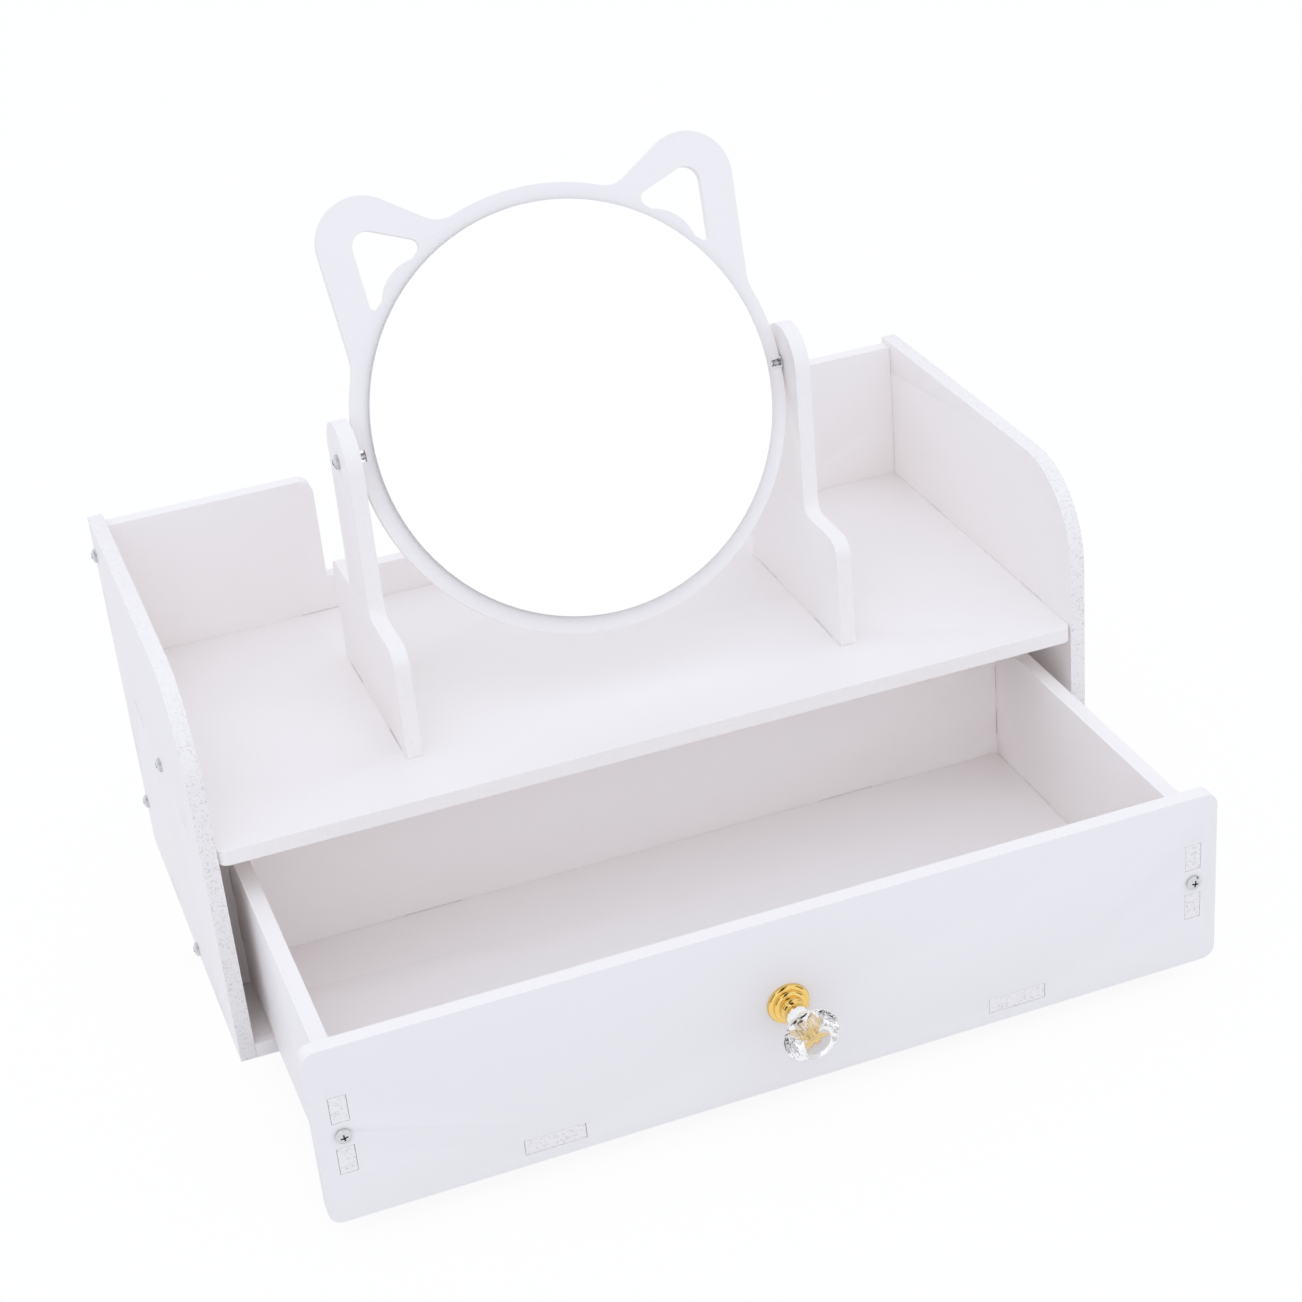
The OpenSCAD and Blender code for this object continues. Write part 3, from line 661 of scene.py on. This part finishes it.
screwPiece("cabinetScrews", "cabinet", ["side_screws", "rear_screws", "post_screws"], 5, {})
screwPiece("pivotScrews", "mirror", ["pivot_screws"], 2, {"Tip Length": 1.5 * mm})
screwPiece("drawerScrews", "drawer", ["drawer_screws"], 9, {})


# ---- knob base: three round steps, a stem and a lip, turned in one piece ----

knob = {
    # lengths in millimetres, from the drawer front outwards
    "steps": [(7.8, 1.92), (6.24, 1.65), (4.68, 1.92)],     # radius and height of each
    "stepRound": 0.72,      # share of a step's height that rounds over to the next step
    "arcPoints": 12,
    "stem": 3.5,
    "stemFlare": 0.5,
    "lip": 4.3,
    "lipHeight": 0.9,
    "lipSoft": (0.15, 0.2), # how far the lip's corners are cut off, across and along
    "length": 9.0,
    "seam": 0.01,           # between base and crystal
    "sides": 96,
    "weld": 0.001,
    "sharpTurn": 40,
}


def baseOutline():
    # radius and height of each point
    outline = [(0, 0)]
    z = 0
    ends = [radius for radius, height in knob["steps"][1:]] + [knob["stem"] + knob["stemFlare"]]
    for (radius, height), end in zip(knob["steps"], ends):
        outline.append((radius, z))
        rise = knob["stepRound"] * height
        for i in range(knob["arcPoints"] + 1):
            angle = math.pi / 2 * i / knob["arcPoints"]
            outline.append((end + (radius - end) * math.cos(angle),
                            z + height - rise + rise * math.sin(angle)))
        z += height
    lipFoot = knob["length"] - knob["lipHeight"]
    for i in range(knob["arcPoints"] + 1):
        share = i / knob["arcPoints"]
        outline.append((knob["stem"] + knob["stemFlare"] * (2 * share - 1) ** 2, z + share * (lipFoot - z)))
    across, along = knob["lipSoft"]
    top = knob["length"] - knob["seam"]
    outline.append((knob["lip"] - across, lipFoot))
    outline.append((knob["lip"], lipFoot + along))
    outline.append((knob["lip"], knob["length"] - along))
    outline.append((knob["lip"] - across, top))
    outline.append((0, top))
    return outline


def turnedMesh(name, outline, origin):
    # an outline of radius and height turned round the axis that points to the front
    sides = knob["sides"]
    shape = bmesh.new()
    rings = []
    for radius, height in outline:
        y = origin.y - height * mm
        if radius == 0:
            rings.append([shape.verts.new((origin.x, y, origin.z))])
            continue
        angles = [2 * math.pi * i / sides for i in range(sides)]
        rings.append([shape.verts.new((origin.x + radius * mm * math.cos(a), y,
                                       origin.z + radius * mm * math.sin(a))) for a in angles])
    for lower, upper in zip(rings, rings[1:]):
        for i in range(sides):
            j = (i + 1) % sides
            corners = [lower[i % len(lower)], lower[j % len(lower)],
                       upper[j % len(upper)], upper[i % len(upper)]]
            shape.faces.new(list(dict.fromkeys(corners)))
    bmesh.ops.remove_doubles(shape, verts=shape.verts, dist=knob["weld"] * mm)
    bmesh.ops.recalc_face_normals(shape, faces=shape.faces)
    for face in shape.faces:
        face.smooth = True
    mesh = bpy.data.meshes.new(name)
    shape.to_mesh(mesh)
    shape.free()
    mesh.set_sharp_from_angle(angle=math.radians(knob["sharpTurn"]))
    return mesh


baseLow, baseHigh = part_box("knob_base")
knobFoot = Vector(((baseLow[0] + baseHigh[0]) / 2, baseHigh[1], (baseLow[2] + baseHigh[2]) / 2))
addPiece("knobBase", turnedMesh("knobBase", baseOutline(), knobFoot), "drawer",
         ["knob_base"], [gold])


# ---- knob crystal: rings of corners with a hull round them, on a fluted neck ----

crystalSizes = {
    "Neck Radius": 4.28 * mm,
    "Neck Length": 3.1 * mm,
    "Flute Depth": 0.07,                # share of the neck's radius
    "Girdle Radius": 10.28 * mm,
    "Girdle Height": 11.0 * mm,
    "Girdle Thickness": 0.8 * mm,
    "Table Radius": 5.7 * mm,
    "Crown Height": 2.98 * mm,
    "Facets": 12,
}
crystalForm = {
    "waistSink": 0.2 * mm,              # how far the cut part reaches down over the neck
    "waistShare": 0.97,                 # of the neck's radius
    "flareBulge": 1.03,                 # the flare's middle corners, against a straight flare
    "flareHeight": 0.52,                # share of the flare's height at which they lie
    "crownBulge": 1.035,                # and the same for the crown
    "crownHeight": 0.5,
    "girdleShare": 0.985,               # the girdle's corners between the main ones lie further in
    "girdleStep": 0.1 * mm,             # and nearer to its middle
    "neckSides": 96,
    "sharpTurn": 1,
}


def crystalTree():
    form = crystalForm
    tree = Growth("cutCrystal", crystalSizes)
    facets = tree.given("Facets")
    neck, girdle, table = (tree.given(k + " Radius") for k in ("Neck", "Girdle", "Table"))
    neckLength, crownHeight = tree.given("Neck Length"), tree.given("Crown Height")
    waist = neckLength - form["waistSink"]
    edge = tree.given("Girdle Height")
    crown = edge + tree.given("Girdle Thickness")
    halfStep = math.pi / facets

    def ring(radius, height, turn=0.0):
        circle = tree.node("GeometryNodeMeshCircle", None, {"Vertices": facets, "Radius": radius})
        return tree.moved(circle, up=height, turn=turn)

    flare = waist + form["flareHeight"] * (edge - waist)
    slope = crown + form["crownHeight"] * crownHeight
    corners = tree.joined(
        ring(form["waistShare"] * neck, waist),
        ring(0.5 * (neck + girdle) * form["flareBulge"], flare, halfStep),
        ring(girdle, edge),
        ring(form["girdleShare"] * girdle, edge + form["girdleStep"], halfStep),
        ring(girdle, crown),
        ring(form["girdleShare"] * girdle, crown - form["girdleStep"], halfStep),
        ring(0.5 * (table + girdle) * form["crownBulge"], slope, halfStep),
        ring(table, crown + crownHeight))
    head = tree.node("GeometryNodeConvexHull", None, {"Geometry": corners})

    # the neck's flutes follow the facets
    x, y, z = tree.split(tree.node("GeometryNodeInputPosition"))
    wave = 0.5 - 0.5 * tree.maths("COSINE", tree.maths("ARCTAN2", y, x) * facets)
    pull = 1.0 - tree.given("Flute Depth") * wave
    drum = tree.node("GeometryNodeMeshCylinder", None, {
        "Vertices": form["neckSides"], "Radius": neck, "Depth": neckLength})
    fluted = tree.node("GeometryNodeSetPosition", None, {
        "Geometry": drum, "Position": tree.vector(x * pull, y * pull, z)})
    stem = tree.moved(fluted, up=0.5 * neckLength)
    whole = tree.node("GeometryNodeMeshBoolean", {"operation": "UNION", "solver": "EXACT"}, {1: [head, stem]})

    # from upright to facing the front, at the end of the base
    tree.close(tree.node("GeometryNodeTransform", None, {
        "Geometry": whole, "Rotation": (math.pi / 2, 0, 0),
        "Translation": (knobFoot.x, knobFoot.y - (knob["length"] + knob["seam"]) * mm, knobFoot.z)}))
    return tree


def crystalPiece():
    mesh = crystalTree().grow(bpy.data.meshes.new("knobCrystal"), crystal, {})
    mesh.set_sharp_from_angle(angle=math.radians(crystalForm["sharpTurn"]))
    addPiece("knobCrystal", mesh, "drawer", ["knob_crystal"])


crystalPiece()
print("knob made")


# ---- studio ----

studio = {
    "floorSize": 12.0,
    "floorWhite": (0.80, 0.80, 0.81),
    "shownWhite": 0.88,                 # share of plain white in what the camera sees of the floor
    "glow": 1.03,
    "matt": 0.9,
    "worldTint": (0.945, 0.985, 1.075),
    "worldStrength": 0.93,
    "diffuseBounces": 8,
    "lamps": {
        # name: place, size, power, tint
        "overhead": ((-0.3, -0.5, 1.9), 1.6, 2.0, (0.95, 0.985, 1.065)),
        "frontSoft": ((-1.0, -2.0, 1.3), 1.5, 1.0, (0.95, 0.985, 1.065)),
    },
    "aim": (0, -0.05, 0.1),
    "cards": {
        # brown cards that only the knob and the screws see: centre, half width, half height
        "high": ((-0.30, -1.00, 0.90), 0.32, 0.33),
        "higher": ((-0.11, -0.49, 1.21), 0.32, 0.33),
        "overTop": ((0.11, 0.09, 1.21), 0.32, 0.33),
        "left": ((-1.1, -0.45, 0.40), 0.22, 0.50),
        "right": ((1.1, -0.75, 0.35), 0.22, 0.45),
    },
    "cardAim": (0, -0.2, 0.05),
    "cardTint": (0.13, 0.085, 0.05),
    "cardFaint": 0.5,                   # how far the crystal sees through the cards
}
plainWhite = (1, 1, 1)


def seenWhite(tree):
    # 1 for rays that see the backdrop itself, in the camera or in metal
    seen = [tree.node("ShaderNodeLightPath", out=name) for name in ("Is Camera Ray", "Is Glossy Ray")]
    return tree.maths("MAXIMUM", *seen)


def stagePlane(name, corners, material):
    mesh = bpy.data.meshes.new(name)
    mesh.from_pydata(corners, [], [(0, 1, 2, 3)])
    mesh.materials.append(material)
    plane = bpy.data.objects.new(name, mesh)
    scene.collection.objects.link(plane)
    return plane


def makeFloor():
    half = studio["floorSize"] / 2
    finish = Finish("paleFloor", BaseColor=(*studio["floorWhite"], 1), Roughness=studio["matt"],
                    SpecularIORLevel=0.0)
    glow = finish.node("ShaderNodeEmission", None, {"Color": (*plainWhite, 1), "Strength": studio["glow"]})
    finish.overlay(glow, seenWhite(finish) * studio["shownWhite"])
    stagePlane("floor", [(-half, -half, 0), (half, -half, 0), (half, half, 0), (-half, half, 0)],
               finish.material)


def makeCards():
    finish = Finish("darkCard", BaseColor=(*studio["cardTint"], 1), Roughness=1.0, SpecularIORLevel=0.0)
    # a ray from the perfectly smooth mirror goes straight through, one out of the crystal does in part
    fromMirror = finish.node("ShaderNodeLightPath", out="Is Singular Ray")
    fromCrystal = finish.node("ShaderNodeLightPath", out="Is Transmission Ray")
    finish.overlay(finish.node("ShaderNodeBsdfTransparent"),
                   finish.maths("MAXIMUM", fromMirror, fromCrystal * studio["cardFaint"]))
    aim = Vector(studio["cardAim"])
    for name, (place, halfWidth, halfHeight) in studio["cards"].items():
        centre = Vector(place)
        facing = (aim - centre).normalized()
        across = facing.cross(zAxis).normalized() * halfWidth
        upward = across.cross(facing).normalized() * halfHeight
        corners = [centre - across - upward, centre + across - upward,
                   centre + across + upward, centre - across + upward]
        card = stagePlane("card_" + name, corners, finish.material)
        card.visible_camera = False
        card.visible_diffuse = False
        card.visible_shadow = False


def makeWorld():
    world = bpy.data.worlds.new("softRoom")
    world.use_nodes = True
    scene.world = world
    tree = Tree(world.node_tree)
    background = next(n for n in tree.nodeTree.nodes if n.type == "BACKGROUND")
    seen = seenWhite(tree)
    tree.plug(background.inputs["Color"], tree.blend(seen, studio["worldTint"], plainWhite))
    tree.plug(background.inputs["Strength"], seen * studio["glow"] + (1 - seen) * studio["worldStrength"])


def makeLamps():
    aim = Vector(studio["aim"])
    for name, (place, size, power, tint) in studio["lamps"].items():
        lamp = bpy.data.lights.new(name, "AREA")
        lamp.shape = "DISK"
        lamp.size, lamp.energy, lamp.color = size, power, tint
        holder = bpy.data.objects.new(name, lamp)
        holder.location = place
        holder.rotation_euler = (aim - Vector(place)).to_track_quat("-Z", "Y").to_euler()
        scene.collection.objects.link(holder)


camera = {
    "place": (-0.25554, -0.87684, 0.58769),
    "turn": 17.746,                     # degrees to the right of straight ahead
    "down": 28.974,
    "roll": -5.518,                     # turned anticlockwise on its own axis
    "lens": 72.47,                      # millimetres, for a sensor 36 mm wide
    "sensor": 36,
    "clip": (0.01, 50),
}


def makeCamera():
    data = bpy.data.cameras.new("camera")
    data.sensor_width, data.lens = camera["sensor"], camera["lens"]
    data.clip_start, data.clip_end = camera["clip"]
    data.dof.use_dof = False
    holder = bpy.data.objects.new("camera", data)
    facing = Euler((math.radians(90 - camera["down"]), 0, -math.radians(camera["turn"]))).to_matrix()
    rolled = facing @ Matrix.Rotation(math.radians(camera["roll"]), 3, "Z")
    holder.matrix_world = Matrix.Translation(camera["place"]) @ rolled.to_4x4()
    scene.collection.objects.link(holder)
    scene.camera = holder


makeFloor()
makeCards()
makeWorld()
makeLamps()
makeCamera()
scene.view_settings.view_transform = "Standard"
scene.cycles.diffuse_bounces = studio["diffuseBounces"]
print("studio set")

bpy.context.view_layer.update()
